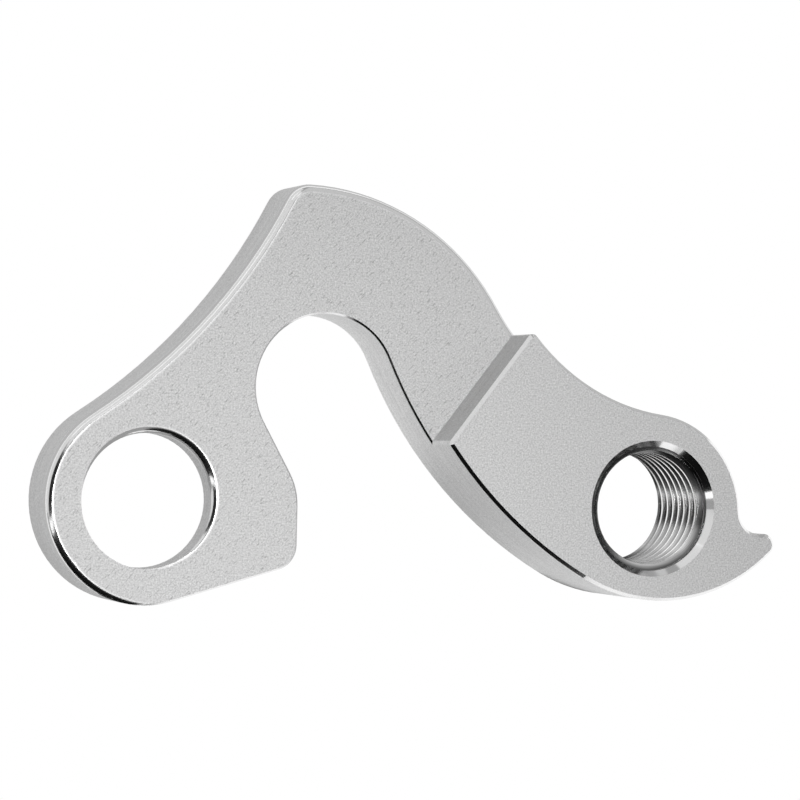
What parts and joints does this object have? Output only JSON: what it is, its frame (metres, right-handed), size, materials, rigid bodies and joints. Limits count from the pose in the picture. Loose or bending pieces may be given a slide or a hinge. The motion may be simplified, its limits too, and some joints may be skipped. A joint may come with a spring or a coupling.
{
  "type": "bicycle derailleur hanger",
  "caption": "Flat aluminium derailleur hanger with a frame bolt eye, an open slot for the wheel axle and a thicker threaded boss with a stop tab for the derailleur.",
  "frame": {"origin": "centre of the frame bolt's seat, on the flat back face", "axes": "+Z out of the back face towards the raised boss, +X from the frame bolt to the derailleur thread, +Y towards the crown above the axle slot"},
  "size_m": [0.0601, 0.0329, 0.0091],
  "materials": {
    "aluminium": "satin"
  },
  "bodies": {
    "root": {"derailleur_hanger": "aluminium"}
  },
  "joints": []
}
